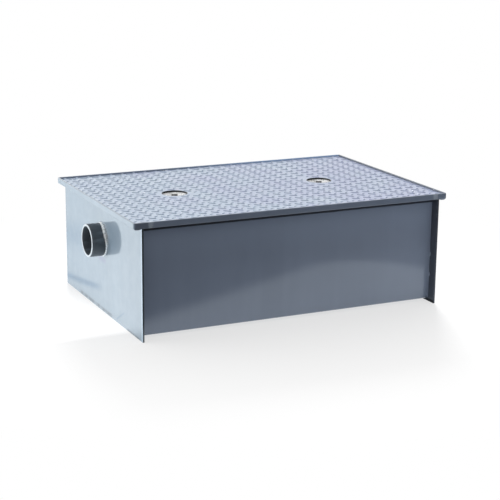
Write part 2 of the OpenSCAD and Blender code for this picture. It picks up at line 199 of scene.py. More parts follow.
class TrapStage(bpy.types.PropertyGroup):
    """Camera, lamps and floor."""

    camera_place: FloatVectorProperty(
        name="Camera place", description="Where the camera stands", default=(-1.6526, -3.4685, 1.1322),
        subtype="TRANSLATION", unit="LENGTH")
    camera_yaw: FloatProperty(
        name="Camera yaw", description="Turn of the view from +Y towards +X", default=math.radians(25.571),
        subtype="ANGLE")
    camera_pitch: FloatProperty(
        name="Camera pitch", description="Tilt of the view below the horizon", default=math.radians(14.682),
        subtype="ANGLE")
    camera_roll: FloatProperty(
        name="Camera roll", description="Turn of the camera about its view", default=math.radians(0.605),
        subtype="ANGLE")
    lens: FloatProperty(name="Lens", description="Focal length in millimetres", default=101.3)
    floor_size: FloatProperty(name="Floor size", description="Half of the floor's width", default=8.0, unit="LENGTH")
    table_front: FloatProperty(
        name="Table front", description="Front edge of the lit table, along the view", default=-0.53, unit="LENGTH")
    table_right: FloatProperty(
        name="Table right", description="Right edge of the lit table, across the view", default=0.79, unit="LENGTH")
    table_corner: FloatProperty(
        name="Table corner", description="Radius of the lit table's corner", default=0.22, unit="LENGTH")
    table_fade: FloatVectorProperty(
        name="Table fade", description="Where the table grows dim, across the view that the inlet end plate mirrors",
        default=(-0.5, -0.3), size=2, unit="LENGTH")
    side_power: FloatProperty(
        name="Side lamp", description="Power of the low lamp at the inlet end", default=22.0, unit="POWER")
    front_mirror: FloatProperty(
        name="Front in mirrors", description="The table in front as bright surfaces mirror it", default=0.6)
    mirror_tint: colour("Mirror tint", "Cool cast of the table in mirrors", (0.88, 0.95, 1.0))
    side_mirror: FloatProperty(
        name="Side in mirrors", description="The table at the inlet end as bright surfaces mirror it", default=1.4)
    back_strength: FloatProperty(name="Back lamp", description="Strength of the broad lamp far behind", default=5.0)
    back_spread: FloatProperty(
        name="Back lamp spread", description="Angle that the broad lamp fills", default=math.radians(20),
        subtype="ANGLE")
    room: FloatProperty(name="Room", description="Light from the room in front, where 1 is white", default=0.5)
    room_mirror: FloatProperty(
        name="Room in mirrors", description="The room in front as bright surfaces mirror it", default=0.1)


def trap_sizes():
    """The scene's size settings."""
    return bpy.context.scene.trap_sizes


def trap_colours():
    """The scene's colour settings."""
    return bpy.context.scene.trap_colours


class Nodes:
    """A node tree, with short calls that add and link its nodes."""

    def __init__(self, tree):
        self.tree = tree

    def add(self, kind, inputs=None, **values):
        """Adds a node, sets its values, and links or sets its inputs."""
        node = self.tree.nodes.new(kind)
        for key, value in values.items():
            setattr(node, key, value)
        for key, value in (inputs or {}).items():
            self.feed(node.inputs[key], value)
        return node

    def feed(self, socket, value):
        """Links a socket, or sets it where the value is a number or a colour."""
        if isinstance(value, bpy.types.NodeSocket):
            self.tree.links.new(value, socket)
        elif hasattr(value, "__len__") and len(value) == 3 and socket.type == "RGBA":
            socket.default_value = (*value, 1)
        else:
            socket.default_value = value

    def math(self, operation, *values):
        """One arithmetic node."""
        return self.add("ShaderNodeMath", dict(enumerate(values)), operation=operation).outputs[0]

    def remap(self, value, low, high, to_low=0.0, to_high=1.0):
        """Smooth step of a value from one range to another."""
        inputs = {"Value": value, "From Min": low, "From Max": high, "To Min": to_low, "To Max": to_high}
        return self.add("ShaderNodeMapRange", inputs, interpolation_type="SMOOTHSTEP").outputs["Result"]

    def within(self, value, low, high, fade):
        """Mask that is 1 between two values and fades out past them."""
        up, down = self.remap(value, low - fade, low), self.remap(value, high, high + fade, 1.0, 0.0)
        return self.math("MULTIPLY", up, down)

    def hypotenuse(self, one, two):
        """Length of a step with two parts at a right angle."""
        return self.math("SQRT", self.math("MULTIPLY_ADD", one, one, self.math("MULTIPLY", two, two)))

    def blend(self, factor, one, two):
        """Mix of two colours."""
        node = self.add("ShaderNodeMix", data_type="RGBA")
        for socket, value in zip((node.inputs[0], node.inputs[6], node.inputs[7]), (factor, one, two)):
            self.feed(socket, value)
        return node.outputs[2]


class Shader(Nodes):
    """A material on the piece's own coordinates."""

    def __init__(self, name):
        self.material = bpy.data.materials.new(name)
        self.material.use_nodes = True
        super().__init__(self.material.node_tree)
        self.surface = self.tree.nodes["Principled BSDF"]
        self.place = self.add("ShaderNodeTexCoord").outputs["Object"]
        self.x, self.y, self.z = self.add("ShaderNodeSeparateXYZ", {"Vector": self.place}).outputs

    def noise(self, scale, detail=3.0, stretch=None):
        """Noise over the piece, stretched where a scale for each axis is given."""
        vector = self.place
        if stretch:
            vector = self.add("ShaderNodeMapping", {"Vector": vector, "Scale": stretch}).outputs["Vector"]
        inputs = {"Vector": vector, "Scale": scale, "Detail": detail}
        return self.add("ShaderNodeTexNoise", inputs).outputs[0]

    def bump(self, height, distance, normal=None):
        """Bump of a height in metres, on top of another bump where one is given."""
        inputs = {"Height": height, "Distance": distance, "Strength": 1.0}
        if normal:
            inputs["Normal"] = normal
        return self.add("ShaderNodeBump", inputs).outputs["Normal"]

    def along(self, x, y):
        """Distance along a level way that is given by its X and Y parts."""
        return self.math("MULTIPLY_ADD", self.x, x, self.math("MULTIPLY", self.y, y))

    def finish(self, **inputs):
        """Feeds the surface's sockets, with underscores for the spaces in their names."""
        for key, value in inputs.items():
            self.feed(self.surface.inputs[key.replace("_", " ")], value)
        return self.material


def shifted(base, share):
    """A colour made lighter or darker by a share."""
    return tuple(min(1.0, channel * (1 + share)) for channel in base)


def coating_colour(shader, base):
    """Coating with faint clouds and upright streaks."""
    clouds = shader.remap(shader.noise(4.0, 4.0), 0.3, 0.7)
    streaks = shader.remap(shader.noise(1.0, 3.0, stretch=(26, 26, 2.2)), 0.35, 0.75)
    cloudy = shader.blend(clouds, shifted(base, -0.05), shifted(base, 0.05))
    return shader.blend(shader.math("MULTIPLY", streaks, 0.35), cloudy, shifted(base, 0.14))


def coating_finish(shader, base, gloss=0.07, matt=None, wave=SHEET_WAVE):
    """Gloss epoxy: orange peel, a slight wave of the sheet and a clear top layer, which a matt mask takes off."""
    wavy = shader.bump(shader.noise(5.0, 1.0), wave)
    peel = shader.bump(shader.noise(260.0, 2.0), PEEL, wavy)
    roughness = shader.remap(shader.noise(30.0, 4.0), 0.25, 0.75, 0.31, 0.43)
    coat = 1.0
    if matt:
        roughness = shader.math("MAXIMUM", roughness, matt)
        coat = shader.math("SUBTRACT", 1.0, matt)
    return shader.finish(Base_Color=base, Roughness=roughness, Normal=peel, Coat_Weight=coat, Coat_Roughness=gloss,
                         Coat_IOR=COAT_IOR)


def grey_coating():
    """Grey gloss coating of the tank's plates."""
    shader = Shader("grey_coating")
    return coating_finish(shader, coating_colour(shader, trap_colours().coating))


def inlet_rim_coating():
    """The inlet rim's coating, in the inlet end plate's colour: a painted light copy of the tank's coating."""
    shader = Shader("inlet_rim_coating")
    return coating_finish(shader, coating_colour(shader, trap_colours().plate))


def panel_coating():
    """The trough's coating, with a painted shadow line under the rim and painted light near the panels' top."""
    colours = trap_colours()
    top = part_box("trough")[1].z
    shader = Shader("panel_coating")
    # Painted shadow: a dark band on the panels just under the rim, where its overhang shades them
    line = shader.math("MULTIPLY", shader.remap(shader.z, top - 0.0145, top - 0.0115), 0.9)
    # Painted light: the coating grows lighter towards the top, against the shade of the rim's overhang
    painted_light_top = shader.remap(shader.z, top - 0.12, top - 0.012, 0.0, 0.6)
    base = shader.blend(painted_light_top, coating_colour(shader, colours.coating), shifted(colours.coating, 0.4))
    return coating_finish(shader, shader.blend(line, base, colours.grime_and_shade))


def front_rim_coating():
    """Front rim: coating darkened as painted shade, darker still at the inlet end, with painted weld highlights."""
    colours = trap_colours()
    low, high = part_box("rim_front_bar")
    shader = Shader("front_rim_coating")
    broken = shader.remap(shader.noise(140.0, 4.0), 0.35, 0.6)
    # Darker band at the inlet end, in the near-black colour
    dark = shader.math("MULTIPLY", shader.within(shader.x, low.x, low.x + 0.034, 0.004), 0.3)
    # Painted shade: the front rim takes a darker copy of the tank's coating
    base = shader.blend(dark, coating_colour(shader, shifted(colours.coating, -0.08)), colours.grime_and_shade)
    # Lighter patches near each end, in the weld's colour: ground welds, lightened as a painted highlight
    patches = shader.math("MAXIMUM", shader.within(shader.x, low.x + 0.041, low.x + 0.047, 0.007),
                          shader.within(shader.x, high.x - 0.040, high.x - 0.029, 0.003))
    patches = shader.math("MULTIPLY", shader.math("MULTIPLY", patches, broken), 0.32)
    return coating_finish(shader, shader.blend(patches, base, colours.weld), gloss=0.15)


def rear_rim_coating():
    """The rear rim's coating, with painted light on the inside of the lip towards the outlet end."""
    colours = trap_colours()
    cover_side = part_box("cover_plate")[1].y
    shader = Shader("rear_rim_coating")
    inside = shader.remap(shader.y, cover_side + 0.0025, cover_side + 0.0045, 1.0, 0.0)
    # Painted light: the inside of the lip turns light towards the outlet end
    painted_light = shader.math("MULTIPLY", inside, shader.remap(shader.x, -0.2, 0.25))
    base = shader.blend(painted_light, coating_colour(shader, colours.coating), shifted(colours.tread, 1.1))
    return coating_finish(shader, base)


def outlet_rim_coating():
    """The outlet rim's coating, dull, and darkened halfway to near black as painted shade."""
    colours = trap_colours()
    shader = Shader("outlet_rim_coating")
    # Painted shade: the whole outlet rim is darkened
    base = shader.blend(0.5, coating_colour(shader, colours.coating), colours.grime_and_shade)
    return coating_finish(shader, base, gloss=0.4)


def smear(shader, curve, reach, width, fade):
    """Soft band along a curve z = a + b y + c y2 over the reach in y, as a mask."""
    a, b, c = curve
    along = shader.math("MULTIPLY_ADD", shader.math("MULTIPLY_ADD", shader.y, c, b), shader.y, a)
    off = shader.math("ABSOLUTE", shader.math("SUBTRACT", shader.z, along))
    return shader.math("MULTIPLY", shader.remap(off, 0.0, width, 1.0, 0.0), shader.within(shader.y, *reach, fade))


def smudged_coating():
    """The inlet end plate's coating: smears, a heat stain, dark bottom bands, and painted shade and highlights."""
    colours = trap_colours()
    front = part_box("inlet_end_plate")[0].y
    shader = Shader("inlet_plate_coating")
    base = coating_colour(shader, colours.plate)
    broken = shader.remap(shader.noise(45.0, 5.0), 0.28, 0.52)
    long_smear = smear(shader, (0.0655, -0.17, 0.11), (0.07, 0.31), 0.017, 0.09)
    # Painted shade along a crease in the sheet
    crease = smear(shader, (-0.054, -0.565, 0.0), (-0.165, -0.115), 0.004, 0.008)
    # Darker, patchy bands along the bottom edge, in the near-black colour
    grime_and_shade = shader.math("MAXIMUM", smear(shader, (0.006, 0.0, 0.0), (-0.06, 0.17), 0.009, 0.03),
                        smear(shader, (0.002, 0.0, 0.0), (-0.27, -0.2), 0.007, 0.02))
    # Painted shade: a soft darker cloud behind the pipe
    cloud = smear(shader, (0.197, -0.165, 0.0), (0.16, 0.31), 0.06, 0.12)
    # The long smear's soiling, with the painted shade of the crease and the cloud
    dirt_and_shade = shader.math("MAXIMUM", shader.math("MULTIPLY", crease, 0.6), shader.math("MULTIPLY", long_smear, 0.62))
    dirt_and_shade = shader.math("MAXIMUM", dirt_and_shade, shader.math("MULTIPLY", cloud, 0.35))
    stain = smear(shader, (0.147, 0.0, 0.0), (-0.025, 0.015), 0.014, 0.016)
    base = shader.blend(shader.math("MULTIPLY", stain, 0.6), base, colours.stain)
    base = shader.blend(dirt_and_shade, base, colours.smudge_and_shade)
    grime_and_shade = shader.math("MULTIPLY", shader.math("MULTIPLY", grime_and_shade, broken), 0.65)
    base = shader.blend(grime_and_shade, base, colours.grime_and_shade)
    dull = shader.math("MULTIPLY", shader.math("MAXIMUM", dirt_and_shade, grime_and_shade), 0.6)
    # Painted highlight: a light band on the front edge's rounding
    painted_highlight = shader.math("MULTIPLY", shader.within(shader.y, front + 0.0006, front + 0.006, 0.002), 0.8)
    base = shader.blend(painted_highlight, base, shifted(colours.plate, 1.2))
    # Painted shade: the front edge's face is darkened
    edge = shader.remap(shader.y, front + 0.0001, front + 0.0004, 0.85, 0.0)
    return coating_finish(shader, shader.blend(edge, base, colours.grime_and_shade), matt=dull, wave=SHEET_WAVE * 1.5)


def shaded_coating():
    """Outlet end plate's coating, darkened as painted shade past the panels, under the trough and on its edges."""
    colours = trap_colours()
    bottom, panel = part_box("trough")
    shader = Shader("outlet_plate_coating")
    base = coating_colour(shader, colours.coating)
    # Painted shade on the plate where it stands out past the panels, and under the trough
    strip = shader.remap(shader.math("ABSOLUTE", shader.y), panel.y - 0.004, panel.y)
    below = shader.remap(shader.z, bottom.z, bottom.z + 0.001, 1.0, 0.0)
    inner = shader.remap(shader.x, panel.x + 0.0004, panel.x + 0.0012, 1.0, 0.0)
    strip = shader.math("MAXIMUM", shader.math("MULTIPLY", strip, 0.78), shader.math("MULTIPLY", below, 0.97))
    grime_and_shade = shader.math("MULTIPLY", strip, inner)
    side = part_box("outlet_end_plate")[1].y
    # Painted shade on the plate's front and rear edge faces
    edge = shader.remap(shader.math("ABSOLUTE", shader.y), side - 0.0012, side - 0.0006, 0.0, 0.82)
    grime_and_shade = shader.math("MAXIMUM", grime_and_shade, edge)
    return coating_finish(shader, shader.blend(grime_and_shade, base, colours.grime_and_shade), matt=grime_and_shade)


def tread_coating():
    """Tread cover's light coating, lilac towards the outlet end, with a patchy painted highlight on the lug tops."""
    sizes, colours = trap_sizes(), trap_colours()
    shader = Shader("tread_coating")
    cast = shader.remap(shader.math("MULTIPLY_ADD", shader.x, 0.45, shader.noise(7.0, 3.0)), 0.3, 0.74)
    base = shader.blend(cast, colours.tread, colours.tread_tint)
    lug_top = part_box("cover_plate")[1].z
    # Painted highlight: the lugs' tops lighter, in patches
    painted_top_light = shader.remap(shader.z, lug_top - sizes.lug_height * 0.5, lug_top)
    painted_highlight = shader.math("MULTIPLY", painted_top_light, shader.remap(shader.noise(60.0, 4.0), 0.4, 0.65))
    base = shader.blend(shader.math("MULTIPLY", painted_highlight, 0.35), base, shifted(colours.tread, 0.35))
    return coating_finish(shader, base, gloss=0.3, wave=SHEET_WAVE / 3)


def dark_pipe():
    """Dark coated pipe with scuffs and a bright cut end."""
    colours = trap_colours()
    free_end = -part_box("inlet_nipple")[0].x
    shader = Shader("dark_pipe")
    cut = shader.remap(shader.math("ABSOLUTE", shader.x), free_end - 0.0013, free_end - 0.0009)
    scuffs = shader.remap(shader.noise(40.0, 6.0, stretch=(0.4, 1.6, 1.6)), 0.5, 0.72)
    base = shader.blend(shader.math("MULTIPLY", scuffs, 0.5), colours.pipe, shifted(colours.pipe, 1.3))
    return shader.finish(
        Base_Color=shader.blend(cut, base, colours.cut_steel), Metallic=shader.math("MULTIPLY", cut, 0.6),
        Roughness=shader.remap(shader.noise(80.0, 4.0), 0.25, 0.75, 0.3, 0.46),
        Normal=shader.bump(shader.noise(180.0, 3.0), 0.00008))


def plated_finish(shader, plating, shade=None):
    """Plated steel with fine turning marks, darkened as painted shade where a mask is given."""
    clouds = shader.remap(shader.noise(70.0, 4.0), 0.3, 0.7)
    base = shader.blend(clouds, shifted(plating, -0.12), shifted(plating, 0.08))
    if shade:
        base = shader.blend(shade, base, trap_colours().grime_and_shade)
    return shader.finish(
        Base_Color=base, Metallic=0.85,
        Roughness=shader.remap(shader.noise(220.0, 3.0), 0.2, 0.8, 0.2, 0.38),
        Normal=shader.bump(shader.noise(500.0, 2.0), 0.000008))


def plated_steel():
    """Bright plated steel."""
    return plated_finish(Shader("bright_steel"), trap_colours().plating)


def bolt_steel():
    """Dull steel of the bolts, with a painted highlight that lightens the heads' tops."""
    colours = trap_colours()
    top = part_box("inlet_side_bolt")[1].z
    shader = Shader("bolt_steel")
    # Painted highlight: the head's top in the plating's colour
    painted_top_light = shader.remap(shader.z, top - 0.0022, top - 0.0008)
    return shader.finish(
        Base_Color=shader.blend(painted_top_light, colours.bolt, colours.plating), Metallic=0.9,
        Roughness=shader.remap(shader.noise(220.0, 3.0), 0.2, 0.8, 0.28, 0.42),
        Normal=shader.bump(shader.noise(500.0, 2.0), 0.00002))


def cup_steel():
    """Bright plating of the cups, with painted shade on the upright edge round the dish."""
    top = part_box("inlet_side_cup")[1].z
    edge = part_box("cover_plate")[0].z
    shader = Shader("cup_steel")
    # Painted shade on the upright edge round the dish
    shade = shader.remap(shader.z, edge, edge + (top - edge) * 0.2, 0.0, 0.92)
    return plated_finish(shader, shifted(trap_colours().plating, 0.22), shade)


def weld_metal():
    """Weld metal under a thin coat, whitened as a painted glint, in lighter and darker patches."""
    weld = trap_colours().weld
    shader = Shader("weld_metal")
    clouds = shader.remap(shader.noise(120.0, 5.0), 0.3, 0.7)
    return shader.finish(
        Base_Color=shader.blend(clouds, shifted(weld, -0.3), shifted(weld, 0.25)), Metallic=0.4,
        Roughness=shader.remap(shader.noise(160.0, 3.0), 0.2, 0.8, 0.18, 0.36), Coat_Weight=0.5,
        Coat_Roughness=0.08)


def gasket_rubber():
    """Matt black rubber with a dusty bloom."""
    rubber = trap_colours().rubber
    shader = Shader("gasket_rubber")
    bloom = shader.remap(shader.noise(90.0, 5.0), 0.35, 0.75)
    return shader.finish(
        Base_Color=shader.blend(bloom, rubber, shifted(rubber, 1.2)),
        Roughness=shader.remap(bloom, 0.0, 1.0, 0.6, 0.8), Normal=shader.bump(shader.noise(400.0, 3.0), 0.00005))


def cast_bronze():
    """Cast bronze with a dull skin."""
    bronze = trap_colours().bronze
    shader = Shader("plug_bronze")
    skin = shader.remap(shader.noise(110.0, 5.0), 0.35, 0.7)
    return shader.finish(
        Base_Color=shader.blend(skin, bronze, shifted(bronze, -0.45)), Metallic=0.9,
        Roughness=shader.remap(skin, 0.0, 1.0, 0.3, 0.55), Normal=shader.bump(shader.noise(300.0, 4.0), 0.00012))


FINISHES = {
    "grey_coating": grey_coating,
    "panel": panel_coating,
    "rim_front": front_rim_coating,
    "rim_rear": rear_rim_coating,
    "rim_inlet": inlet_rim_coating,
    "rim_outlet": outlet_rim_coating,
    "inlet_plate": smudged_coating,
    "outlet_plate": shaded_coating,
    "tread_coating": tread_coating,
    "dark_pipe": dark_pipe,
    "bright_steel": plated_steel,
    "bolt_steel": bolt_steel,
    "cup_steel": cup_steel,
    "weld_metal": weld_metal,
    "gasket_rubber": gasket_rubber,
    "plug_bronze": cast_bronze,
}
_made = {}


def finish_of(name):
    """A finish's material, made at its first use."""
    if name not in _made:
        _made[name] = FINISHES[name]()
    return _made[name]


def slot_of(node):
    """The material slot that the record gives a node."""
    return next(row["material_slot"] for row in frame["record"]["subparts"] if row["node"] == node)


def body_of(node):
    """The body that carries a node."""
    return next(body for body, nodes in frame["record"]["behaviour"]["bodies"].items() if node in nodes)


def smooth_faces(bm):
    """Which faces are shaded smooth: not the flat ones that meet only their own plane or much smaller faces."""
    bm.normal_update()
    areas = {face: face.calc_area() for face in bm.faces}
    return [any(areas[other] > area * MUCH_SMALLER and other.normal.angle(face.normal, 0) > FLAT
                for edge in face.edges for other in edge.link_faces) for face, area in areas.items()]


def new_piece(name, bm, body, finish, replaced=()):
    """Makes an object of a bmesh, shaded smooth up to its sharp edges, that rides on a body."""
    smooth = smooth_faces(bm)
    mesh = bpy.data.meshes.new(name)
    bm.to_mesh(mesh)
    bm.free()
    mesh.set_sharp_from_angle(angle=SHARP)
    mesh.polygons.foreach_set("use_smooth", smooth)
    mesh.materials.append(finish_of(finish))
    piece = bpy.data.objects.new(name, mesh)
    bpy.context.scene.collection.objects.link(piece)
    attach(piece, body)
    if replaced:
        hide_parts(*replaced)


def sharp_edges(bm, angle=SHARP):
    """Edges where two faces meet at more than an angle."""
    return [edge for edge in bm.edges if len(edge.link_faces) == 2 and edge.calc_face_angle() > angle]


def round_edges(bm, edges, radius, steps):
    """Rounds edges over by a radius."""
    bmesh.ops.bevel(bm, geom=edges, offset=radius, offset_type="OFFSET", affect="EDGES", segments=steps,
                    profile=0.5, material=-1, clamp_overlap=False)


def angle_edges(bm):
    """A steel angle's outer edges, without those of its mitred ends: upright faces with an L's six corners."""
    return [edge for edge in sharp_edges(bm) if edge.is_convex
            and not any(abs(face.normal.z) < FLAT and len(face.verts) == 6 for face in edge.link_faces)]


def eased(node, radius, finish=None, steps=None, edges_of=sharp_edges):
    """Stands for a node with a copy of it whose flat faces are whole and whose sharp edges are rounded."""
    bm = bmesh.new()
    bm.from_mesh(frame["nodes"][node].data)
    bmesh.ops.remove_doubles(bm, verts=bm.verts, dist=MERGE)
    bmesh.ops.dissolve_limit(bm, angle_limit=FLAT, verts=bm.verts, edges=bm.edges)
    round_edges(bm, edges_of(bm), radius, steps or trap_sizes().edge_steps)
    slot = slot_of(node)
    new_piece(node + "_finished", bm, body_of(node), finish or slot, [node])


class TRAP_OT_tank_body(bpy.types.Operator):
    """Trough and end plates, with eased edges and the marks on the inlet end plate"""

    bl_idname = "trap.tank_body"
    bl_label = "Tank Body"

    def execute(self, context):
        radius = context.scene.trap_sizes.plate_edge
        eased("trough", radius, "panel")
        eased("inlet_end_plate", radius, "inlet_plate")
        eased("outlet_end_plate", radius, "outlet_plate")
        return {"FINISHED"}


class TRAP_OT_rim(bpy.types.Operator):
    """Four rim angles with rounded edges"""

    bl_idname = "trap.rim"
    bl_label = "Rim"

    def execute(self, context):
        sizes = context.scene.trap_sizes
        for side in ("front", "rear", *ENDS):
            eased(f"rim_{side}_bar", sizes.rim_edge, f"rim_{side}", sizes.rim_steps, angle_edges)
        return {"FINISHED"}


def weld_ring(end):
    """Rippled fillet weld round a pipe stub's root."""
    sizes = trap_sizes()
    low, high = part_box(f"{end}_nipple")
    outward = -1 if end == "inlet" else 1
    face = high.x if end == "inlet" else low.x
    centre = Vector((face, 0, (low.z + high.z) / 2))
    radius = (high.z - low.z) / 2
    bm = bmesh.new()
    leg = sizes.weld_leg
    corner = centre + Vector((0, 0, radius))
    crown = [corner + Vector((outward * leg * math.cos(turn), 0, leg * math.sin(turn)))
             for turn in (math.pi / 2 * step / RING_STEPS for step in range(RING_STEPS + 1))]
    verts = [bm.verts.new(point) for point in [corner, *crown]]
    edges = [bm.edges.new(pair) for pair in zip(verts, verts[1:] + verts[:1])]
    ripples = round(2 * math.pi * radius / sizes.weld_ripple)
    bmesh.ops.spin(bm, geom=verts + edges, cent=centre, axis=(1, 0, 0), angle=2 * math.pi, steps=4 * ripples,
                   use_merge=True)
    bmesh.ops.remove_doubles(bm, verts=bm.verts, dist=MERGE)
    for vert in bm.verts:
        arm = vert.co - centre
        turn = math.atan2(arm.z, arm.y)
        broad = max(0.0, math.cos(turn - RING_BROAD_AT)) ** 3
        share = (RING_SHARE + RING_BROAD * broad + RING_RIPPLE * math.cos(ripples * turn)
                 + RING_WANDER * math.sin(3 * turn + 1))
        root = centre + Vector((0, math.cos(turn), math.sin(turn))) * radius
        vert.co = root + (vert.co - root) * share
    bmesh.ops.recalc_face_normals(bm, faces=bm.faces)
    new_piece(f"{end}_weld", bm, "tank", "weld_metal")


class TRAP_OT_pipes(bpy.types.Operator):
    """Pipe stubs at both ends, with the welds round their roots"""

    bl_idname = "trap.pipes"
    bl_label = "Pipes"

    def execute(self, context):
        for end in ENDS:
            eased(f"{end}_nipple", context.scene.trap_sizes.plate_edge * 0.5)
            weld_ring(end)
        return {"FINISHED"}


def stitch(bm, place, length, radius, way="Z"):
    """Adds a stitch weld along an axis, rippled along its length and drawn in at its ends."""
    made = bmesh.ops.create_uvsphere(bm, u_segments=12, v_segments=28, radius=1)["verts"]
    ripples = length / trap_sizes().weld_ripple
    for vert in made:
        swell = radius * (1 + STITCH_RIPPLE * math.cos(math.pi * ripples * vert.co.z))
        vert.co = Vector((vert.co.x * swell, vert.co.y * swell, vert.co.z * length / 2))
    if way == "X":
        bmesh.ops.rotate(bm, verts=made, matrix=Matrix.Rotation(math.pi / 2, 3, "Y"))
    bmesh.ops.translate(bm, verts=made, vec=place)


class TRAP_OT_stitch_welds(bpy.types.Operator):
    """Stitch welds where the panels meet the end plates, and welds under the rim's corners"""

    bl_idname = "trap.stitch_welds"
    bl_label = "Stitch Welds"

    def execute(self, context):
        sizes = context.scene.trap_sizes
        low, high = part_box("trough")
        heights = [low.z + (high.z - low.z) * share for share in STITCH_HEIGHTS]
        bm = bmesh.new()
        for x in (low.x, high.x):
            for y in (low.y, high.y):
                for z in heights:
                    stitch(bm, Vector((x, y, z)), sizes.stitch_length, sizes.stitch_radius)
        new_piece("panel_stitch_welds", bm, "tank", "grey_coating")
        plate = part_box("inlet_end_plate")[0]
        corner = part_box("rim_front_bar")[0]
        bm = bmesh.new()
        for x in (-1, 1):
            for y in (-1, 1):
                place = Vector((x * (corner.x + plate.x) / 2, y * (plate.y + CORNER_WELD_SUNK), corner.z))
                stitch(bm, place, plate.x - corner.x, sizes.corner_weld, "X")
        new_piece("rim_corner_welds", bm, "tank", "rim_front")
        return {"FINISHED"}


def lug_mesh(sizes):
    """One lens-shaped lug with sloped sides, lying along X on the origin."""
    bm = bmesh.new()
    bmesh.ops.create_grid(bm, x_segments=8, y_segments=4, size=1)
    length, width = sizes.lug_length, sizes.lug_width
    arc = (length ** 2 + width ** 2) / (4 * width)
    for vert in bm.verts:
        along, across = vert.co.x, vert.co.y
        half = math.sqrt(arc ** 2 - (along * length / 2) ** 2) - arc + width / 2
        rise = (1 - abs(across) ** 3) * (1 - along ** 6)
        vert.co = Vector((along * length / 2, across * half, rise * sizes.lug_height))
    rim = [edge for edge in bm.edges if edge.is_boundary]
    skirt = bmesh.ops.extrude_edge_only(bm, edges=rim)["geom"]
    sunk = [item for item in skirt if isinstance(item, bmesh.types.BMVert)]
    bmesh.ops.translate(bm, verts=sunk, vec=(0, 0, -sizes.lug_height / 5))
    bmesh.ops.remove_doubles(bm, verts=bm.verts, dist=MERGE)
    bmesh.ops.holes_fill(bm, edges=[edge for edge in bm.edges if edge.is_boundary])
    bmesh.ops.recalc_face_normals(bm, faces=bm.faces)
    mesh = bpy.data.meshes.new("lug")
    bm.to_mesh(mesh)
    bm.free()
    return mesh


def off_axis(point, turn, half):
    """Distance from a point to the axis of a lug that is centred on the origin."""
    axis = Vector((math.cos(turn), math.sin(turn)))
    return (point - axis * max(-half, min(half, point.dot(axis)))).length


def tread_sheet(bm, sizes, top):
    """Adds the cover's flat plate, with its round corners and the cups' holes."""
    low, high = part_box("cover_plate")
    bmesh.ops.create_grid(bm, x_segments=1, y_segments=1, size=1)
    bmesh.ops.scale(bm, verts=bm.verts, vec=((high.x - low.x) / 2, (high.y - low.y) / 2, 1))
    bmesh.ops.bevel(bm, geom=bm.verts[:], offset=sizes.cover_corner, affect="VERTICES", segments=CORNER_STEPS,
                    profile=0.5, material=-1)
    bmesh.ops.delete(bm, geom=bm.faces[:], context="FACES_ONLY")
    for end in ENDS:
        cup_low, cup_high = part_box(f"{end}_side_cup")
        middle = Matrix.Translation(((cup_low.x + cup_high.x) / 2, 0, 0))
        bmesh.ops.create_circle(bm, cap_ends=False, radius=(cup_high.x - cup_low.x) / 2 + CUP_GAP,
                                segments=CUP_STEPS, matrix=middle)
    bmesh.ops.triangle_fill(bm, use_beauty=True, use_dissolve=False, edges=bm.edges[:], normal=(0, 0, 1))
    bmesh.ops.translate(bm, verts=bm.verts, vec=(0, 0, low.z))
    grown = bmesh.ops.extrude_face_region(bm, geom=bm.faces[:])["geom"]
    raised = [item for item in grown if isinstance(item, bmesh.types.BMVert)]
    bmesh.ops.translate(bm, verts=raised, vec=(0, 0, top - low.z))
    bmesh.ops.recalc_face_normals(bm, faces=bm.faces)
    round_edges(bm, sharp_edges(bm, STEEP), sizes.plate_edge, sizes.edge_steps)


def add_lug(bm, lug, place, reach):
    """Adds a lug to the cover, cut off where it runs past the reach of the lugs."""
    part = bmesh.new()
    part.from_mesh(lug)
    bmesh.ops.transform(part, matrix=place, verts=part.verts)
    for way in (Vector((1, 0, 0)), Vector((-1, 0, 0)), Vector((0, 1, 0)), Vector((0, -1, 0))):
        limit = abs(way.xy.dot(reach))
        if max(vert.co.dot(way) for vert in part.verts) > limit:
            cut = bmesh.ops.bisect_plane(part, geom=part.verts[:] + part.edges[:] + part.faces[:], dist=MERGE,
                                         plane_co=way * limit, plane_no=way, clear_outer=True)["geom_cut"]
            bmesh.ops.holes_fill(part, edges=[item for item in cut if isinstance(item, bmesh.types.BMEdge)])
    mesh = bpy.data.meshes.new("lug_part")
    part.to_mesh(mesh)
    part.free()
    bm.from_mesh(mesh)
    bpy.data.meshes.remove(mesh)


class TRAP_OT_tread_cover(bpy.types.Operator):
    """Tread-plate cover with sloped lugs in a basket pattern round the two cups"""

    bl_idname = "trap.tread_cover"
    bl_label = "Tread Cover"

    def execute(self, context):
        sizes = context.scene.trap_sizes
        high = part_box("cover_plate")[1]
        top = high.z - sizes.lug_height
        reach = high.xy - Vector((sizes.lug_margin, sizes.lug_margin))
        nose = sizes.lug_length * 0.3
        cups = [(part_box(f"{end}_side_cup")[0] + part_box(f"{end}_side_cup")[1]).xy / 2 for end in ENDS]
        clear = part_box("inlet_side_cup")[1].y + sizes.lug_width / 2 + sizes.lug_clear
        bm = bmesh.new()
        tread_sheet(bm, sizes, top)
        lug = lug_mesh(sizes)
        columns, rows = (math.ceil(2 * size / pitch) + 1 for size, pitch in zip(high.xy, sizes.lug_pitch))
        for i in range(-columns, columns + 1):
            for j in range(-rows, rows + 1):
                spot = Vector((i * sizes.lug_pitch[0], j * sizes.lug_pitch[1])) / 2 + Vector(sizes.lug_shift)
                turn = math.radians(45 if i % 2 == 0 else -45)
                if (i + j) % 2 or abs(spot.x) > reach.x + nose or abs(spot.y) > reach.y + nose:
                    continue
                if min(off_axis(cup - spot, turn, sizes.lug_length / 2) for cup in cups) <= clear:
                    continue
                add_lug(bm, lug, Matrix.Translation((*spot, top)) @ Matrix.Rotation(turn, 4, "Z"), reach)
        bpy.data.meshes.remove(lug)
        new_piece("tread_cover", bm, "cover", "tread_coating", ["cover_plate"])
        return {"FINISHED"}


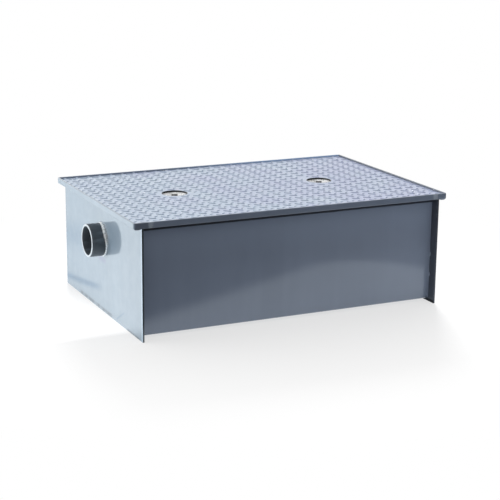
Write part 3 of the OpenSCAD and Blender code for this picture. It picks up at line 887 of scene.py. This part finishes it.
def hexagon_head(bm, middle, flats, low, high):
    """Adds a hexagon bolt head whose top corners are cut off by a cone."""
    made = bmesh.ops.create_cone(bm, cap_ends=True, segments=HEAD_STEPS, radius1=1, radius2=1, depth=2)["verts"]
    cap = next(face for face in bm.faces if len(face.verts) == HEAD_STEPS and face.normal.z > 0)
    grown = bmesh.ops.extrude_face_region(bm, geom=[cap])["geom"]
    crown = [item for item in grown if isinstance(item, bmesh.types.BMVert)]
    bmesh.ops.translate(bm, verts=crown, vec=(0, 0, 1))
    bmesh.ops.delete(bm, geom=[face for face in bm.faces if face.calc_center_median().z == 1], context="FACES_ONLY")
    circle = flats / 2 * CHAMFER_CIRCLE
    # So far the head stands from -1 at its seat to 1 at the chamfer's foot and 2 at its top
    for vert in {*made, *crown}:
        turn = math.atan2(vert.co.y, vert.co.x)
        off_flat = turn % math.radians(60) - math.radians(30)
        reach = flats / 2 / math.cos(off_flat)
        if vert.co.z < 0:
            radius, height = reach, low
        elif vert.co.z < 1.5:
            radius, height = reach, high - (reach - circle) * CHAMFER_SLOPE
        else:
            radius, height = circle, high
        vert.co = Vector((middle.x + radius * math.cos(turn), middle.y + radius * math.sin(turn), height))


def bolt_piece(end):
    """Hexagon bolt with a cut thread, in place of a plain one."""
    sizes = trap_sizes()
    low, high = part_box(f"{end}_side_bolt")
    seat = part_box(f"{end}_side_washer")[1].z
    middle = (low + high) / 2
    root = sizes.bolt_radius - sizes.thread_depth
    bm = bmesh.new()
    hexagon_head(bm, middle, high.y - low.y, seat, high.z)
    core = Matrix.Translation((middle.x, middle.y, (low.z + seat + SHANK_IN_HEAD) / 2))
    bmesh.ops.create_cone(bm, cap_ends=True, segments=48, radius1=root * 0.9, radius2=root,
                          depth=seat - low.z + SHANK_IN_HEAD, matrix=core)
    pitch, crest, foot = sizes.thread_pitch, sizes.bolt_radius, root - sizes.thread_depth / 3
    section = [(foot, -0.45), (crest, -0.08), (crest, 0.08), (foot, 0.45)]
    verts = [bm.verts.new((middle.x + radius, middle.y, low.z + pitch * (BARE_TURNS + share)))
             for radius, share in section]
    face = bm.faces.new(verts)
    turns = (seat - low.z) / pitch - 2 * BARE_TURNS
    steps = round(THREAD_STEPS * turns)
    bmesh.ops.spin(bm, geom=[face, *face.edges, *verts], cent=middle, axis=(0, 0, 1),
                   dvec=(0, 0, turns * pitch / steps), angle=2 * math.pi * turns, steps=steps, use_merge=False)
    bmesh.ops.recalc_face_normals(bm, faces=bm.faces)
    new_piece(f"{end}_side_bolt_finished", bm, f"{end}_bolt", "bolt_steel", [f"{end}_side_bolt"])


class TRAP_OT_hold_downs(bpy.types.Operator):
    """Cups, washers and threaded bolts that hold the cover down"""

    bl_idname = "trap.hold_downs"
    bl_label = "Hold-Downs"

    def execute(self, context):
        radius = context.scene.trap_sizes.plate_edge
        for end in ENDS:
            eased(f"{end}_side_cup", radius, "cup_steel")
            eased(f"{end}_side_washer", radius)
            bolt_piece(end)
        return {"FINISHED"}


class TRAP_OT_inside(bpy.types.Operator):
    """Crossbars, baffles and their guides, outlet trap and sediment tray, with eased edges"""

    bl_idname = "trap.inside"
    bl_label = "Inside"

    def execute(self, context):
        radius = context.scene.trap_sizes.plate_edge
        nodes = [f"{end}_{piece}" for end in ENDS
                 for piece in ("side_crossbar", "side_nut", "baffle", "guide_front", "guide_rear")]
        for node in nodes + ["trap_hood", "trap_weir", "cleanout_plug", "air_relief_tube", "sediment_tray"]:
            eased(node, radius)
        gasket = frame["nodes"]["cover_gasket"]
        gasket.data.materials.clear()
        gasket.data.materials.append(finish_of("gasket_rubber"))
        return {"FINISHED"}


def place_lamp(name, kind, place, target, **values):
    """Soft lamp aimed at a point, which neither the camera nor a mirror sees."""
    light = bpy.data.lights.new(name, kind)
    for key, value in values.items():
        setattr(light, key, value)
    lamp = bpy.data.objects.new(name, light)
    lamp.matrix_world = Matrix.Translation(place) @ (
        (Vector(target) - Vector(place)).to_track_quat("-Z", "Y").to_matrix().to_4x4())
    lamp.visible_camera = False
    lamp.visible_glossy = False
    bpy.context.scene.collection.objects.link(lamp)


def place_camera(stage):
    """The photograph's camera."""
    data = bpy.data.cameras.new("camera")
    data.lens = stage.lens
    data.sensor_width = SENSOR_WIDTH
    camera = bpy.data.objects.new("camera", data)
    camera.matrix_world = (
        Matrix.Translation(stage.camera_place) @ Matrix.Rotation(-stage.camera_yaw, 4, "Z")
        @ Matrix.Rotation(math.pi / 2 - stage.camera_pitch, 4, "X") @ Matrix.Rotation(stage.camera_roll, 4, "Z"))
    bpy.context.scene.collection.objects.link(camera)
    bpy.context.scene.camera = camera


def floor_material(stage):
    """White floor that keeps shadows, dark beyond the table for all but the camera; in mirrors the table glows."""
    shader = Shader("floor")
    yaw, corner = stage.camera_yaw, stage.table_corner
    right = shader.along(math.cos(yaw), -math.sin(yaw))
    deep = shader.along(math.sin(yaw), math.cos(yaw))
    past_right = shader.math("MAXIMUM", shader.math("SUBTRACT", right, stage.table_right - corner), 0.0)
    past_front = shader.math("MAXIMUM", shader.math("SUBTRACT", stage.table_front + corner, deep), 0.0)
    past = shader.hypotenuse(past_right, past_front)
    table = shader.remap(past, corner - TABLE_SOFT, corner + TABLE_SOFT, 1.0, 0.0)
    ray = shader.add("ShaderNodeLightPath").outputs
    camera_ray, glossy_ray = ray["Is Camera Ray"], ray["Is Glossy Ray"]
    from_middle = shader.hypotenuse(shader.x, shader.y)
    far = shader.math("MULTIPLY", camera_ray, shader.remap(from_middle, *SHADOW_REACH, SHADOW_WHITE, 1.0))
    dim = shader.math("MULTIPLY", shader.remap(shader.along(*MIRRORED_VIEW), *stage.table_fade, 0.0, TABLE_DIM),
                      shader.remap(shader.y, *TABLE_TURN))
    lit = shader.math("MULTIPLY", table, shader.math("SUBTRACT", 1.0, dim))
    base = shader.blend(shader.math("MAXIMUM", camera_ray, lit), FLOOR_DARK, FLOOR_WHITE)
    matt = shader.add("ShaderNodeBsdfDiffuse", {"Color": base}).outputs[0]
    # Painted reflection: in mirrors the table is a glow, brighter at the inlet end and dimmer in front
    mirrored = shader.math(
        "MULTIPLY", lit, shader.remap(shader.y, *TABLE_TURN, stage.front_mirror, stage.side_mirror))
    tint = shader.blend(glossy_ray, (1, 1, 1), stage.mirror_tint)
    strength = shader.math("MAXIMUM", camera_ray, mirrored)
    glow = shader.add("ShaderNodeEmission", {"Color": tint, "Strength": strength}).outputs[0]
    share = shader.math("MAXIMUM", far, glossy_ray)
    mixed = shader.add("ShaderNodeMixShader", {0: share, 1: matt, 2: glow}).outputs[0]
    shader.feed(shader.tree.nodes["Material Output"].inputs["Surface"], mixed)
    return shader.material


def light_room(stage):
    """White behind and to the left, dim in front, and plain white for the camera."""
    world = bpy.data.worlds.new("studio")
    world.use_nodes = True
    bpy.context.scene.world = world
    nodes = Nodes(world.node_tree)
    way = nodes.add("ShaderNodeTexCoord").outputs["Generated"]
    lean = nodes.add("ShaderNodeVectorMath", {0: way, 1: ROOM_WHITE_WAY}, operation="DOT_PRODUCT").outputs["Value"]
    ray = nodes.add("ShaderNodeLightPath").outputs
    front = nodes.remap(ray["Is Glossy Ray"], 0.0, 1.0, stage.room, stage.room_mirror)
    level = nodes.remap(lean, *ROOM_FADE, front, 1.0)
    background = world.node_tree.nodes["Background"]
    nodes.feed(background.inputs["Color"], (1, 1, 1))
    nodes.feed(background.inputs["Strength"], nodes.math("MAXIMUM", level, ray["Is Camera Ray"]))


class TRAP_OT_stage(bpy.types.Operator):
    """Camera, floor, lamps and room"""

    bl_idname = "trap.stage"
    bl_label = "Stage"

    def execute(self, context):
        stage = context.scene.trap_stage
        place_camera(stage)
        bm = bmesh.new()
        bmesh.ops.create_grid(bm, x_segments=1, y_segments=1, size=stage.floor_size)
        mesh = bpy.data.meshes.new("floor")
        bm.to_mesh(mesh)
        bm.free()
        mesh.materials.append(floor_material(stage))
        floor = bpy.data.objects.new("floor", mesh)
        context.scene.collection.objects.link(floor)
        place_lamp("side_lamp", "AREA", SIDE_LAMP, SIDE_TARGET, shape="RECTANGLE", size=SIDE_SIZE[0],
                   size_y=SIDE_SIZE[1], energy=stage.side_power)
        place_lamp("back_lamp", "SUN", BACK_LAMP, (0, 0, 0), energy=stage.back_strength, angle=stage.back_spread)
        light_room(stage)
        context.scene.view_settings.view_transform = "Standard"
        return {"FINISHED"}


OPERATORS = (TRAP_OT_tank_body, TRAP_OT_rim, TRAP_OT_pipes, TRAP_OT_stitch_welds, TRAP_OT_tread_cover,
             TRAP_OT_hold_downs, TRAP_OT_inside, TRAP_OT_stage)
GROUPS = {"trap_sizes": TrapSizes, "trap_colours": TrapColours, "trap_stage": TrapStage}


class TRAP_PT_panel(bpy.types.Panel):
    """Settings and steps of the grease trap's looks"""

    bl_idname = "TRAP_PT_panel"
    bl_label = "Grease Trap"
    bl_space_type = "VIEW_3D"
    bl_region_type = "UI"
    bl_category = "Grease Trap"

    def draw(self, context):
        for name, group in GROUPS.items():
            box = self.layout.box()
            for setting in group.__annotations__:
                box.prop(getattr(context.scene, name), setting)
        for operator in OPERATORS:
            self.layout.operator(operator.bl_idname)


CLASSES = (*GROUPS.values(), *OPERATORS, TRAP_PT_panel)


def register():
    """Registers the settings, the operators and the panel."""
    for cls in CLASSES:
        bpy.utils.register_class(cls)
    for name, group in GROUPS.items():
        setattr(bpy.types.Scene, name, PointerProperty(type=group))


def unregister():
    """Takes away what register added."""
    for name in GROUPS:
        delattr(bpy.types.Scene, name)
    for cls in reversed(CLASSES):
        bpy.utils.unregister_class(cls)


def main():
    """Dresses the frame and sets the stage."""
    register()
    bpy.ops.trap.tank_body()
    bpy.ops.trap.rim()
    bpy.ops.trap.pipes()
    bpy.ops.trap.stitch_welds()
    bpy.ops.trap.tread_cover()
    bpy.ops.trap.hold_downs()
    bpy.ops.trap.inside()
    bpy.ops.trap.stage()


if __name__ == "__main__":
    main()
